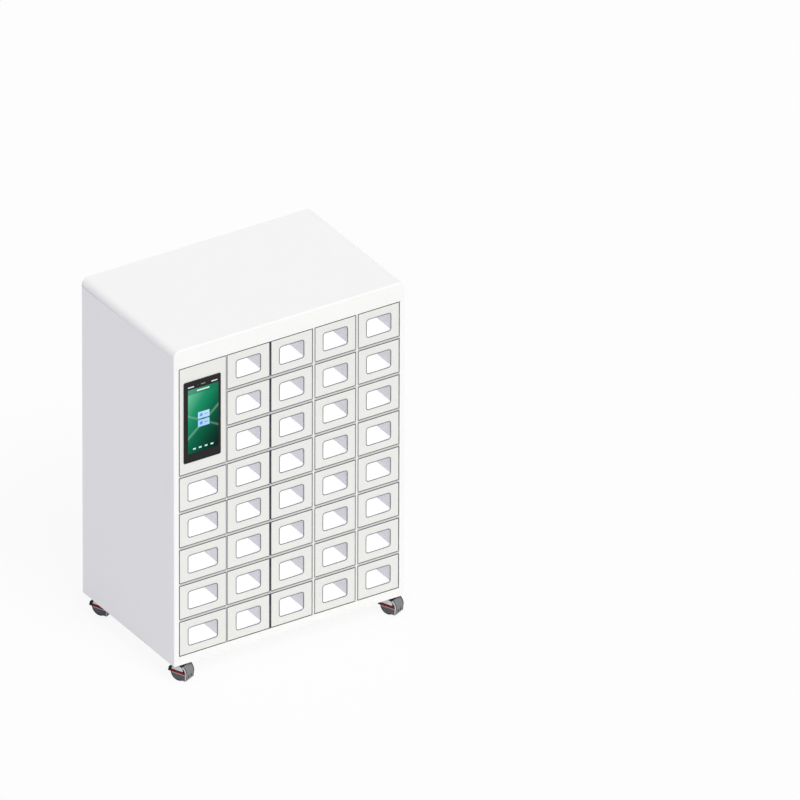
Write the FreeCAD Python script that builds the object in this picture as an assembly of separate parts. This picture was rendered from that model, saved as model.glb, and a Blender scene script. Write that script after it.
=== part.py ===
import FreeCAD, Part
import math
import os

# Storage cabinet with five columns of small windowed doors, a touch terminal and four casters.
# Millimetres. The origin is on the floor under the middle of the body: +X right, +Y back, +Z up.

# Body
body_depth = 600.0
body_sheet = 1.5
side_return = 20.0
header_height = 72.5
bottom_rail_height = 33.5
top_bend_radius = 25.0
front_bevel = 3.0
cover_lip = 30.0
ground_clearance = 70.0

# Compartments, with columns from left to right and rows from the top down
terminal_column_width = 193.0
second_column_width = 175.5
third_column_width = 174.5
fourth_column_width = 174.5
fifth_column_width = 172.5
row_height = 142.4
row_count = 8
terminal_rows = 3
liner_sheet = 1.2
rear_cavity = 27.0

# Strips of the front frame, which stand flush with the doors
strip_width = 7.0
thin_partition = 1.5
partition_setback = 16.0

# Gaps beside the doors
outer_gap = 3.0
strip_gap = 2.5
thin_gap = 1.75
setback_gap = 2.75

# Doors
front_recess = 1.0
door_sheet = 1.2
door_depth = 15.0
wide_window = 121.0
narrow_window = 101.0
window_height = 73.0
window_corner = 7.0
pane_lap = 3.0
pane_thickness = 2.0

# Door hinges: one rod to a column, which runs in the folded edge of each door
rod_radius = 2.0
rod_clearance = 0.3

# Magnetic door locks, and the steel blocks on the doors that they hold
lock_width = 14.0
lock_length = 36.0
lock_height = 38.0
lock_gap = 0.3
lock_above_window = 2.0
armature_width = 8.5
armature_height = 24.0
armature_from_wall = 4.5

# Terminal
bezel_width = 149.0
bezel_height = 319.0
bezel_radius = 6.0
bezel_proud = 2.0
bezel_rim = 2.0
bezel_below_panel_top = 58.0
bezel_from_panel_left = 16.5
glass_thickness = 1.4
glass_clearance = 0.2
case_margin = 5.0
case_clearance = 0.5
case_depth = 42.0
case_back_chamfer = 12.0
ear_length = 30.0
ear_depth = 8.0

# Power supply in the header, and the mains inlet in a slot of the back panel
supply_width = 160.0
supply_depth = 98.0
supply_height = 42.0
supply_from_back = 60.0
inlet_width = 50.0
inlet_height = 27.0
inlet_depth = 18.0
inlet_flange = 5.0
inlet_flange_thickness = 2.5
inlet_from_right = 90.0
inlet_above_base = 60.0
socket_wall = 3.0
socket_depth = 14.0

# Vents in the back panel
vent_length = 70.0
vent_height = 5.0
vent_pitch = 14.0
vent_rows = 4
vent_columns = 2
vent_from_middle = 230.0
vent_below_cover = 70.0
panel_clearance = 0.5

# Casters
caster_inset_x = 41.0
caster_inset_y = 41.5
caster_heading = -65.7
caster_trail = 16.5
wheel_radius = 32.0
wheel_width = 17.5
wheel_inner_gap = 14.0
axle_radius = 2.5
bearing_clearance = 0.05
hood_clearance = 0.8
hood_wall = 1.8
hood_side_gap = 0.5
hood_lip = 1.0
hood_flats = 16
shield_angle = 34.0
web_clearance = 1.0
web_length = 26.0
web_below_axle = 8.0
boss_width = 20.0
boss_clearance = 0.3
kingpin_radius = 5.5
kingpin_length = 20.0
plate_size = 60.0
plate_thickness = 3.0
pedal_thickness = 2.0
pedal_height = 7.0
pedal_above_axle = 1.0
pedal_gap = 0.3
pedal_bar_gap = 1.5
pedal_reach = 9.0
pedal_front = 30.0

# Places that follow from the sizes above
column_widths = (
    terminal_column_width, second_column_width, third_column_width, fourth_column_width, fifth_column_width,
)
body_width = sum(column_widths) + 2 * side_return
left = -body_width / 2
right = body_width / 2
front = -body_depth / 2
back = body_depth / 2
column_edges = [left + side_return + sum(column_widths[:count]) for count in range(len(column_widths) + 1)]
base_top = ground_clearance + bottom_rail_height
base_bottom = base_top - body_sheet
header_bottom = base_top + row_count * row_height
body_top = header_bottom + header_height
door_front = front + front_recess
liner_back = back - rear_cavity
hinge_section = 2 * (rod_radius + rod_clearance + door_sheet)
edge_kinds = ("outer", "thin", "set_back", "wide", "wide", "outer")
half_walls = {"outer": 0.0, "thin": thin_partition / 2, "set_back": thin_partition / 2, "wide": strip_width / 2}
door_gaps = {"outer": outer_gap, "thin": thin_gap, "set_back": setback_gap, "wide": strip_gap}

# Places closer than this count as the same when edges are picked
tiny = 1.0e-6


def vector(x, y, z):
    return FreeCAD.Vector(x, y, z)


def block(x0, x1, y0, y1, z0, z1):
    """A box between two corners."""
    return Part.makeBox(x1 - x0, y1 - y0, z1 - z0, vector(x0, y0, z0))


def rod(radius, start, end):
    """A round bar between two points."""
    along = end - start
    return Part.makeCylinder(radius, along.Length, start, along)


def prism(points, along):
    """A flat outline pushed along a vector."""
    return Part.Face(Part.makePolygon(points + points[:1])).extrude(along)


def edges_along(solid, axis):
    """The straight edges of a solid that run along one axis, given as x, y or z."""
    return [edge for edge in solid.Edges if abs(getattr(edge.tangentAt(edge.FirstParameter), axis)) > 0.99]


def edges_at(solid, **place):
    """The edges of a solid whose ends lie at the given X, Y or Z."""
    found = []
    for edge in solid.Edges:
        ends = edge.Vertexes
        if all(abs(getattr(end, axis) - value) < tiny for axis, value in place.items() for end in ends):
            found.append(edge)
    return found


def level(number):
    """Height of the line between two rows, counted from the floor of the lowest one."""
    return base_top + number * row_height


def wall_span(column):
    """The clear width of a column, from wall to wall."""
    low = column_edges[column] + half_walls[edge_kinds[column]]
    high = column_edges[column + 1] - half_walls[edge_kinds[column + 1]]
    return low, high


def door_span(column):
    """The left and right edges of a column's doors."""
    low, high = wall_span(column)
    return low + door_gaps[edge_kinds[column]], high - door_gaps[edge_kinds[column + 1]]


def front_heights(top_row, bottom_row):
    """The lower and upper edges of a door or panel that covers these rows."""
    above_strip = strip_width / 2 + strip_gap
    low = level(row_count - bottom_row - 1) + (outer_gap if bottom_row == row_count - 1 else above_strip)
    high = level(row_count - top_row) - (outer_gap if top_row == 0 else above_strip)
    return low, high


def first_row(column):
    """The highest row of a column that has a door."""
    return terminal_rows if column == 0 else 0


def bevel_at(inset):
    """The front bevel's width on a surface inset by a sheet's thickness, so that the sheet stays even."""
    return front_bevel - inset * (2 - math.sqrt(2))


def side_block(side, inset, sheet_top):
    """A block as deep as the body behind one side, inset by a sheet's thickness or by nothing."""
    outer = side * (right - inset)
    edge = side * column_edges[-1]
    y0 = front + inset
    solid = block(min(outer, edge), max(outer, edge), y0, back - inset, ground_clearance, sheet_top)
    return solid.makeChamfer(bevel_at(inset), edges_at(solid, X=outer, Y=y0))


def side_panel(side):
    """A side sheet with a return at the front and at the back, cut out under the header's own return."""
    sheet_top = body_top - cover_lip
    header_end = block(left, right, front, front + side_return, header_bottom, sheet_top)
    return side_block(side, 0.0, sheet_top).cut([side_block(side, body_sheet, sheet_top), header_end])


def cover_block(inset):
    """A block with the cover's two long bends at the top and its narrow bevel at the front."""
    y0 = front + inset
    solid = block(left + inset, right - inset, y0, back - inset, header_bottom, body_top - inset)
    long_edges = edges_at(solid, X=left + inset, Z=body_top - inset)
    long_edges += edges_at(solid, X=right - inset, Z=body_top - inset)
    solid = solid.makeFillet(top_bend_radius - inset, long_edges)
    front_edges = []
    for edge in edges_at(solid, Y=y0):
        if max(end.Z for end in edge.Vertexes) > header_bottom + tiny:
            front_edges.append(edge)
    return solid.makeChamfer(bevel_at(inset), front_edges)


def top_cover():
    """The bent top with a short lip on three sides, and the deep header in front with its returns."""
    behind_header = block(left, right, front + side_return, back, header_bottom, body_top - cover_lip)
    return cover_block(0.0).cut([cover_block(body_sheet), behind_header])


def base_sheets():
    """The base sheet and the two rails that hide the caster plates."""
    inside = right - front_bevel
    sheet = block(-inside, inside, front + body_sheet, back - body_sheet, base_bottom, base_top)
    rails = []
    for y in (front, back - body_sheet):
        rails.append(block(column_edges[0], column_edges[-1], y, y + body_sheet, ground_clearance, base_top))
    return [sheet] + rails


def body_shell():
    return [side_panel(-1), side_panel(1), top_cover()] + base_sheets()


def inlet_place():
    """Middle of the mains inlet on the back panel."""
    return right - inlet_from_right, base_top + inlet_above_base


def back_panel():
    """The vented back sheet, and two low service sheets with the inlet's slot between them."""
    inside = right - body_sheet - panel_clearance
    y0 = back - 2 * body_sheet
    y1 = y0 + body_sheet
    x, z = inlet_place()
    service_top = z + inlet_height / 2
    vents = []
    for column in range(vent_columns):
        vent_x = vent_from_middle * (2 * column - vent_columns + 1)
        for row in range(vent_rows):
            vent_z = body_top - cover_lip - vent_below_cover - row * vent_pitch
            half = vent_length / 2
            vents.append(block(vent_x - half, vent_x + half, y0, y1, vent_z, vent_z + vent_height))
    upper = block(-inside, inside, y0, y1, service_top, body_top - top_bend_radius).cut(vents)
    low_left = block(-inside, x - inlet_width / 2, y0, y1, base_top, service_top)
    low_right = block(x + inlet_width / 2, inside, y0, y1, base_top, service_top)
    return [upper, low_left, low_right]


def wide_partition(x):
    """A channel whose web is the strip between two columns of doors."""
    low, high = x - strip_width / 2, x + strip_width / 2
    outside = block(low, high, door_front, liner_back, base_top, header_bottom)
    cavity = block(
        low + liner_sheet, high - liner_sheet, door_front + liner_sheet, liner_back, base_top, header_bottom,
    )
    return outside.cut(cavity)


def partitions():
    """The upright walls of the compartments, and the sheet behind them all."""
    walls = []
    for number, kind in enumerate(edge_kinds):
        x = column_edges[number]
        half = thin_partition / 2
        if kind == "wide":
            walls.append(wide_partition(x))
        elif kind == "thin":
            walls.append(block(x - half, x + half, door_front, liner_back, base_top, header_bottom))
        elif kind == "set_back":
            y0 = door_front + partition_setback
            walls.append(block(x - half, x + half, y0, liner_back, base_top, header_bottom))
        else:
            outside = x + math.copysign(liner_sheet, x)
            low, high = min(x, outside), max(x, outside)
            walls.append(block(low, high, front + body_sheet, liner_back, base_top, header_bottom))
    low, high = column_edges[0] - liner_sheet, column_edges[-1] + liner_sheet
    walls.append(block(low, high, liner_back, liner_back + liner_sheet, base_top, header_bottom))
    return walls


def hinge_axis(column):
    """Where a column's hinge rod stands."""
    return door_span(column)[0] + hinge_section / 2, door_front + hinge_section / 2


def shelf(column, number):
    """A shelf whose front edge is folded down into a strip, notched for the hinge rod."""
    low, high = wall_span(column)
    z0 = level(number) - strip_width / 2
    z1 = level(number) + strip_width / 2
    y0 = door_front
    outline = [
        vector(low, y0, z0),
        vector(low, y0 + liner_sheet, z0),
        vector(low, y0 + liner_sheet, z1 - liner_sheet),
        vector(low, liner_back, z1 - liner_sheet),
        vector(low, liner_back, z1),
        vector(low, y0, z1),
    ]
    solid = prism(outline, vector(high - low, 0, 0))
    x, y = hinge_axis(column)
    reach = rod_radius + rod_clearance
    return solid.cut(block(low, x + reach, y - reach, y + reach, z0, z1))


def shelves():
    """The shelves between the rows, and the ceiling over the top row."""
    solids = []
    for column in range(len(column_widths)):
        for number in range(1, row_count - first_row(column) + (1 if column == 0 else 0)):
            solids.append(shelf(column, number))
    ceiling = block(
        column_edges[0], column_edges[-1], front + body_sheet, liner_back,
        header_bottom, header_bottom + liner_sheet,
    )
    return solids + [ceiling]


def hinge_rods():
    """One rod to a column, from the base to the ceiling or to the shelf under the terminal."""
    rods = []
    for column in range(len(column_widths)):
        x, y = hinge_axis(column)
        top = header_bottom
        if column == 0:
            top = level(row_count - terminal_rows) + strip_width / 2
        rods.append(rod(rod_radius, vector(x, y, base_top), vector(x, y, top)))
    return rods


def lock_middle(row):
    """Height of a lock's middle, just above the window of its door."""
    low, high = front_heights(row, row)
    return (low + high + window_height) / 2 + lock_above_window


def door_lock(column, row):
    """A magnetic lock on the right wall, close behind the door."""
    x1 = wall_span(column)[1]
    y0 = door_front + door_depth + lock_gap
    z0 = lock_middle(row) - lock_height / 2
    return block(x1 - lock_width, x1, y0, y0 + lock_length, z0, z0 + lock_height)


def door_locks():
    solids = []
    for column in range(len(column_widths)):
        for row in range(first_row(column), row_count):
            solids.append(door_lock(column, row))
    return solids


def armature(column, row):
    """The steel block on the back of a door that its lock holds."""
    x1 = wall_span(column)[1] - armature_from_wall
    y0 = door_front + door_sheet
    z0 = lock_middle(row) - armature_height / 2
    return block(x1 - armature_width, x1, y0, door_front + door_depth, z0, z0 + armature_height)


def tray(x0, x1, z0, z1, left_edge):
    """A sheet with its edges folded back all round, where the left edge may be thicker."""
    y1 = door_front + door_depth
    outside = block(x0, x1, door_front, y1, z0, z1)
    hollow = block(
        x0 + left_edge, x1 - door_sheet, door_front + door_sheet, y1, z0 + door_sheet, z1 - door_sheet,
    )
    return outside.cut(hollow)


def door(column, row):
    """A folded door with its window and the hinge section on its left edge, the pane and the armature."""
    x0, x1 = door_span(column)
    z0, z1 = front_heights(row, row)
    y0 = door_front
    reach = rod_radius + rod_clearance
    x, y = hinge_axis(column)
    rod_space = block(x - reach, x + reach, y - reach, y + reach, z0, z1)
    width = wide_window if column == 0 else narrow_window
    middle_x, middle_z = (x0 + x1) / 2, (z0 + z1) / 2
    half_x, half_z = width / 2, window_height / 2
    window = block(
        middle_x - half_x, middle_x + half_x, y0, y0 + door_sheet, middle_z - half_z, middle_z + half_z,
    )
    window = window.makeChamfer(window_corner, edges_along(window, "y"))
    folded = tray(x0, x1, z0, z1, hinge_section).cut([rod_space, window])
    lap_x, lap_z = half_x + pane_lap, half_z + pane_lap
    pane_y = y0 + door_sheet
    pane = block(
        middle_x - lap_x, middle_x + lap_x, pane_y, pane_y + pane_thickness,
        middle_z - lap_z, middle_z + lap_z,
    )
    return [folded, pane, armature(column, row)]


def bezel_place():
    """The left edge and the top of the terminal's bezel."""
    return door_span(0)[0] + bezel_from_panel_left, front_heights(0, terminal_rows - 1)[1] - bezel_below_panel_top


def terminal_fascia():
    """The fixed panel round the terminal, and the two ears that hold it between the walls."""
    x0, x1 = door_span(0)
    z0, z1 = front_heights(0, terminal_rows - 1)
    bezel_left, bezel_top = bezel_place()
    y1 = door_front + door_depth
    opening = block(
        bezel_left + case_margin, bezel_left + bezel_width - case_margin, door_front, y1,
        bezel_top - bezel_height + case_margin, bezel_top - case_margin,
    )
    ears = []
    wall_low, wall_high = wall_span(0)
    middle = (z0 + z1) / 2
    for low, high in ((wall_low, x0), (x1, wall_high)):
        ears.append(block(low, high, y1 - ear_depth, y1, middle - ear_length / 2, middle + ear_length / 2))
    return [tray(x0, x1, z0, z1, door_sheet).cut(opening)] + ears


def terminal_unit():
    """The moulded case of the terminal: a bezel in front of the panel and a case behind its opening."""
    x0, z1 = bezel_place()
    x1, z0 = x0 + bezel_width, z1 - bezel_height
    y0 = door_front - bezel_proud
    bezel = block(x0, x1, y0, door_front, z0, z1)
    bezel = bezel.makeFillet(bezel_radius, edges_along(bezel, "y"))
    inset = case_margin + case_clearance
    far_y = door_front + case_depth
    case = block(x0 + inset, x1 - inset, door_front, far_y, z0 + inset, z1 - inset)
    case = case.makeChamfer(case_back_chamfer, edges_at(case, Y=far_y))
    pocket = block(
        x0 + bezel_rim, x1 - bezel_rim, y0, y0 + glass_thickness, z0 + bezel_rim, z1 - bezel_rim,
    )
    return bezel.fuse(case).cut(pocket).removeSplitter()


def terminal_glass():
    """The glass over the screen, flush in the bezel."""
    x0, z1 = bezel_place()
    x1, z0 = x0 + bezel_width, z1 - bezel_height
    edge = bezel_rim + glass_clearance
    y0 = door_front - bezel_proud
    return block(x0 + edge, x1 - edge, y0, y0 + glass_thickness, z0 + edge, z1 - edge)


def power_parts():
    """The power supply on top of the ceiling sheet, and the mains inlet with the plate over its slot."""
    z0 = header_bottom + liner_sheet
    y1 = liner_back - supply_from_back
    supply = block(-supply_width / 2, supply_width / 2, y1 - supply_depth, y1, z0, z0 + supply_height)
    x, z = inlet_place()
    half_x, half_z = inlet_width / 2, inlet_height / 2
    panel_face = back - body_sheet
    inside = block(
        x - half_x + panel_clearance, x + half_x - panel_clearance, panel_face - inlet_depth, panel_face,
        z - half_z + panel_clearance, z + half_z - panel_clearance,
    )
    plate = block(
        x - half_x - inlet_flange, x + half_x + inlet_flange, panel_face, panel_face + inlet_flange_thickness,
        base_top, z + half_z + inlet_flange,
    )
    wall = panel_clearance + socket_wall
    far_y = panel_face + inlet_flange_thickness
    socket = block(
        x - half_x + wall, x + half_x - wall, far_y - socket_depth, far_y,
        z - half_z + wall, z + half_z - wall,
    )
    return [supply, inside.fuse(plate).cut(socket).removeSplitter()]


def caster_wheels():
    """Two wheels and the axle between them, ahead of the swivel axis, which stands at the local origin."""
    centre = vector(caster_trail, 0, wheel_radius)
    inner = vector(0, wheel_inner_gap / 2, 0)
    outer = vector(0, wheel_inner_gap / 2 + wheel_width, 0)
    axle = rod(axle_radius, centre - inner, centre + inner)
    wheels = [rod(wheel_radius, centre - outer, centre - inner), rod(wheel_radius, centre + inner, centre + outer)]
    return [axle] + wheels


def hood_inside(half_width):
    """The space for the wheels, with flat sides that all keep the same distance from the treads."""
    step = 2 * math.pi / hood_flats
    reach = (wheel_radius + hood_clearance) / math.cos(step / 2)
    corners_round = []
    for number in range(hood_flats):
        angle = (number + 0.5) * step
        x = caster_trail + reach * math.cos(angle)
        corners_round.append(vector(x, -half_width, wheel_radius + reach * math.sin(angle)))
    return prism(corners_round, vector(0, 2 * half_width, 0))


def caster_hood():
    """The moulded hood over both wheels, with its front shield, middle web and swivel boss."""
    centre = vector(caster_trail, 0, wheel_radius)
    outer_radius = wheel_radius + hood_clearance + hood_wall
    half_inside = wheel_inner_gap / 2 + wheel_width + hood_side_gap
    half_outside = half_inside + hood_wall
    drum = rod(outer_radius, centre - vector(0, half_outside, 0), centre + vector(0, half_outside, 0))
    inside = hood_inside(half_inside)
    low = wheel_radius - outer_radius
    lip = wheel_radius - hood_lip
    rear, shield_front = caster_trail - outer_radius, caster_trail + outer_radius
    shield_bottom = wheel_radius - outer_radius * math.sin(math.radians(shield_angle))
    openings = [
        inside,
        block(rear, caster_trail, -half_outside, half_outside, low, lip),
        block(caster_trail, shield_front, -half_outside, half_outside, low, shield_bottom),
        block(caster_trail, shield_front, -half_outside, -half_inside, low, lip),
        block(caster_trail, shield_front, half_inside, half_outside, low, lip),
    ]
    half_web = wheel_inner_gap / 2 - web_clearance
    half_length = web_length / 2
    web = block(
        caster_trail - half_length, caster_trail + half_length, -half_web, half_web,
        wheel_radius - web_below_axle, wheel_radius + outer_radius,
    )
    half_boss = boss_width / 2
    boss_top = base_bottom - plate_thickness - boss_clearance
    boss = block(-half_boss, half_boss, -half_boss, half_boss, wheel_radius, boss_top).cut(inside)
    bore = rod(kingpin_radius + bearing_clearance, vector(0, 0, boss_top - kingpin_length), vector(0, 0, boss_top))
    seat = axle_radius + bearing_clearance
    axle_seat = block(
        caster_trail - seat, caster_trail + seat, -half_web, half_web, wheel_radius - seat, wheel_radius + seat,
    )
    return drum.cut(openings).fuse([web.common(drum), boss]).cut([bore, axle_seat]).removeSplitter()


def caster_pedal():
    """The brake pedal: two arms beside the hood, joined by the foot bar behind it."""
    half_inside = wheel_inner_gap / 2 + wheel_width + hood_side_gap + hood_wall + pedal_gap
    half_outside = half_inside + pedal_thickness
    z0 = wheel_radius + pedal_above_axle
    z1 = z0 + pedal_height
    bar_front = caster_trail - wheel_radius - hood_clearance - hood_wall - pedal_bar_gap
    arm_end = caster_trail + pedal_front
    outside = block(bar_front - pedal_reach, arm_end, -half_outside, half_outside, z0, z1)
    between = block(bar_front, arm_end, -half_inside, half_inside, z0, z1)
    return outside.cut(between)


def caster_plate():
    """The fixed plate of a caster with its kingpin."""
    z0 = base_bottom - plate_thickness
    half = plate_size / 2
    plate = block(-half, half, -half, half, z0, base_bottom)
    kingpin = rod(kingpin_radius, vector(0, 0, z0 - kingpin_length), vector(0, 0, z0))
    return plate.fuse(kingpin).removeSplitter()


def placed(shape, x, y, heading):
    """A caster's shape turned to its heading and moved under a corner of the base."""
    turned = shape.copy()
    turned.rotate(vector(0, 0, 0), vector(0, 0, 1), heading)
    turned.translate(vector(x, y, 0))
    return turned


def corners():
    """The four swivel axes by name."""
    x = right - caster_inset_x
    y = back - caster_inset_y
    return {
        "front_left": (-x, -y), "front_right": (x, -y), "rear_left": (-x, y), "rear_right": (x, y),
    }


def save(name, solids):
    """Write one node from a solid or a list of solids."""
    solids = solids if isinstance(solids, list) else [solids]
    shape = solids[0] if len(solids) == 1 else Part.makeCompound(solids)
    shape.exportStep(os.path.join("parts", name + ".step"))


os.makedirs("parts", exist_ok=True)
save("body_shell", body_shell())
save("back_panel", back_panel())
save("partitions", partitions())
save("shelves", shelves())
save("hinge_rods", hinge_rods())
save("door_locks", door_locks())
save("terminal_fascia", terminal_fascia())
save("terminal_unit", terminal_unit())
save("terminal_glass", terminal_glass())
save("power_parts", power_parts())
for column in range(len(column_widths)):
    for row in range(first_row(column), row_count):
        save("door_column%d_row%d" % (column + 1, row + 1), door(column, row))
save("caster_plates", [placed(caster_plate(), x, y, 0) for x, y in corners().values()])
for corner, (x, y) in corners().items():
    save("caster_%s_hood" % corner, placed(caster_hood(), x, y, caster_heading))
    save("caster_%s_pedal" % corner, placed(caster_pedal(), x, y, caster_heading))
    save("caster_%s_wheels" % corner, [placed(solid, x, y, caster_heading) for solid in caster_wheels()])
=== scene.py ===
import bmesh
import bpy
import math
from mathutils import Matrix, Vector


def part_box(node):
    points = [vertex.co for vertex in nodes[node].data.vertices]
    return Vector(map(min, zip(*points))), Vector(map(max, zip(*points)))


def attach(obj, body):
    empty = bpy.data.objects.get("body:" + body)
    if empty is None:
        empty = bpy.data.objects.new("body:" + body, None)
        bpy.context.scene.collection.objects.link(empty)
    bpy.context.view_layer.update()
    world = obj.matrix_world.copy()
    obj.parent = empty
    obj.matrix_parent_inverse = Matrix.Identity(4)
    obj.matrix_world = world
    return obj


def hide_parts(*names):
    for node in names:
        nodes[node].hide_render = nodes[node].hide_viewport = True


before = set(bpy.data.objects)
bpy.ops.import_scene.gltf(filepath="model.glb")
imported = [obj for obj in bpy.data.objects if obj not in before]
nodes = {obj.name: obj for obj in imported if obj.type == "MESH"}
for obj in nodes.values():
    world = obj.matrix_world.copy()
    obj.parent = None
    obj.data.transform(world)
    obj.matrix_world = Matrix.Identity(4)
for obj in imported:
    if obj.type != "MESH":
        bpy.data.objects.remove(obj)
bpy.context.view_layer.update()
scene = bpy.context.scene

# Studio.
# A plain white floor under an even, slightly cool sky, with one broad soft lamp in front.
# The sky and floor show white to the camera, and the floor keeps the cabinet's soft shadow.
white = (1.0, 1.0, 1.0)
sky_colour = (0.875, 0.875, 1.0)
sky_strength = 0.595
floor_colour = (0.82, 0.82, 0.83)
floor_radius = 40.0
floor_white_seen = 0.90
floor_white_bounced = 0.30
lamp_energy = 1.88
lamp_spread = math.radians(35)
lamp_colour = (1.0, 0.99, 0.868)
towards_lamp = Vector((0.02, -0.32, 0.42))


def math_node(tree, operation, first, second=0.0):
    """A math node whose two inputs are each a number or another node's output."""
    node = tree.nodes.new("ShaderNodeMath")
    node.operation = operation
    for place, value in enumerate((first, second)):
        if isinstance(value, (int, float)):
            node.inputs[place].default_value = value
        else:
            tree.links.new(value, node.inputs[place])
    return node.outputs[0]


def plain_shader(tree, kind, colour, strength=None):
    """A shader node of one colour, for light or paint."""
    node = tree.nodes.new(kind)
    node.inputs["Color"].default_value = (*colour, 1.0)
    if strength is not None:
        node.inputs["Strength"].default_value = strength
    return node.outputs[0]


def send_out(tree, output_kind, share, lit, seen):
    """Sends out the lit shader, and in its place the seen one by the given share."""
    mix = tree.nodes.new("ShaderNodeMixShader")
    for place, value in enumerate((share, lit, seen)):
        tree.links.new(value, mix.inputs[place])
    tree.links.new(mix.outputs[0], tree.nodes.new(output_kind).inputs["Surface"])


scene.view_settings.view_transform = "Standard"
sky = bpy.data.worlds.new("studio_sky")
scene.world = sky
sky.use_nodes = True
sky_tree = sky.node_tree
sky_tree.nodes.clear()
sky_rays = sky_tree.nodes.new("ShaderNodeLightPath").outputs
sky_direct = math_node(sky_tree, "MAXIMUM", sky_rays["Is Camera Ray"], sky_rays["Is Transmission Ray"])
send_out(
    sky_tree, "ShaderNodeOutputWorld", math_node(sky_tree, "MAXIMUM", sky_direct, sky_rays["Is Glossy Ray"]),
    plain_shader(sky_tree, "ShaderNodeBackground", sky_colour, sky_strength),
    plain_shader(sky_tree, "ShaderNodeBackground", white, 1.0),
)

floor_paint = bpy.data.materials.new("studio_floor")
floor_paint.use_nodes = True
floor_tree = floor_paint.node_tree
floor_tree.nodes.clear()
floor_seen = floor_tree.nodes.new("ShaderNodeLightPath").outputs["Is Camera Ray"]
floor_share = math_node(floor_tree, "MULTIPLY", floor_seen, floor_white_seen - floor_white_bounced)
send_out(
    floor_tree, "ShaderNodeOutputMaterial", math_node(floor_tree, "ADD", floor_share, floor_white_bounced),
    plain_shader(floor_tree, "ShaderNodeBsdfDiffuse", floor_colour),
    plain_shader(floor_tree, "ShaderNodeEmission", white, 1.0),
)
floor_bm = bmesh.new()
bmesh.ops.create_circle(floor_bm, cap_ends=True, segments=48, radius=floor_radius)
floor_mesh = bpy.data.meshes.new("studio_floor")
floor_bm.to_mesh(floor_mesh)
floor_bm.free()
floor_mesh.materials.append(floor_paint)
floor = bpy.data.objects.new("studio_floor", floor_mesh)
scene.collection.objects.link(floor)

lamp = bpy.data.lights.new("soft_lamp", "SUN")
lamp.energy = lamp_energy
lamp.angle = lamp_spread
lamp.color = lamp_colour
lamp_object = bpy.data.objects.new("soft_lamp", lamp)
lamp_object.rotation_mode = "QUATERNION"
lamp_object.rotation_quaternion = towards_lamp.to_track_quat("Z", "Y")
scene.collection.objects.link(lamp_object)

# Camera.
# It stands far off in front, to the left and above, so that the cabinet's edges stay parallel in the picture.
# The cabinet's middle lies left of and below the picture's centre, as far as the two offsets say.
camera_azimuth = math.radians(-31.80)
camera_elevation = math.radians(30.23)
camera_distance = 100.0
picture_width = 2.7468
middle_right_of_centre = -0.5381
middle_above_centre = -0.1641
cabinet_middle = Vector((0.0, 0.0, 0.65))
camera = bpy.data.cameras.new("camera")
camera.lens = camera.sensor_width * camera_distance / picture_width
camera.clip_start = camera_distance / 2
camera.clip_end = camera_distance * 2
towards_camera = Vector((
    math.sin(camera_azimuth) * math.cos(camera_elevation),
    -math.cos(camera_azimuth) * math.cos(camera_elevation),
    math.sin(camera_elevation),
))
level_turn = (-towards_camera).to_track_quat("-Z", "Y")
camera_place = cabinet_middle + towards_camera * camera_distance
picture_centre = cabinet_middle - level_turn @ Vector((middle_right_of_centre, middle_above_centre, 0.0))
camera_object = bpy.data.objects.new("camera", camera)
camera_object.rotation_mode = "QUATERNION"
camera_object.location = camera_place
aim_turn = (-towards_camera).rotation_difference(picture_centre - camera_place)
camera_object.rotation_quaternion = aim_turn @ level_turn
scene.collection.objects.link(camera_object)
scene.camera = camera_object

# Body sheets.
# Two bent steel side sheets, a bent top cover with its deep header, and a base sheet with two rails.
# All are 1.5 mm steel with a smooth white powder coat, and are screwed and spot-welded together inside.
body_low, body_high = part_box("body_shell")
body_sheet = 0.0015
side_return = 0.020
return_y = body_low.y + side_return
header_bottom = 1.2427
cover_edge = body_high.z - 0.030
base_top = 0.1035
base_from_sides = 0.003
top_bend = 0.025
front_bend = 0.0038
back_bend = 0.002
seam = 0.0003
hair = 1e-5  # a corner this near to a plane lies on it
smooth_angle = math.radians(35)
rounding_angle = math.radians(40)


def finish_group(name, **inputs):
    """A shader group that takes numbers and colours by name, and gives Colour, Roughness and Height."""
    group = bpy.data.node_groups.new(name, "ShaderNodeTree")
    for label, value in inputs.items():
        kind = "NodeSocketColor" if isinstance(value, tuple) else "NodeSocketFloat"
        group.interface.new_socket(label, in_out="INPUT", socket_type=kind).default_value = value
    for label, kind in (("Colour", "Color"), ("Roughness", "Float"), ("Height", "Float")):
        group.interface.new_socket(label, in_out="OUTPUT", socket_type="NodeSocket" + kind)
    return group, group.nodes.new("NodeGroupInput").outputs, group.nodes.new("NodeGroupOutput").inputs


def noise_node(tree, scale, detail, stretch=(1.0, 1.0, 1.0)):
    """Noise on object coordinates, with its scale in cycles to the metre."""
    place = tree.nodes.new("ShaderNodeTexCoord")
    turn = tree.nodes.new("ShaderNodeMapping")
    turn.inputs["Scale"].default_value = stretch
    noise = tree.nodes.new("ShaderNodeTexNoise")
    noise.inputs["Scale"].default_value = scale
    noise.inputs["Detail"].default_value = detail
    tree.links.new(place.outputs["Object"], turn.inputs["Vector"])
    tree.links.new(turn.outputs[0], noise.inputs["Vector"])
    return noise.outputs["Fac"]


def darkened(tree, colour, share):
    """A colour that loses a share of itself."""
    scale = tree.nodes.new("ShaderNodeVectorMath")
    scale.operation = "SCALE"
    tree.links.new(colour, scale.inputs[0])
    tree.links.new(math_node(tree, "SUBTRACT", 1.0, share), scale.inputs["Scale"])
    return scale.outputs[0]


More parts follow.
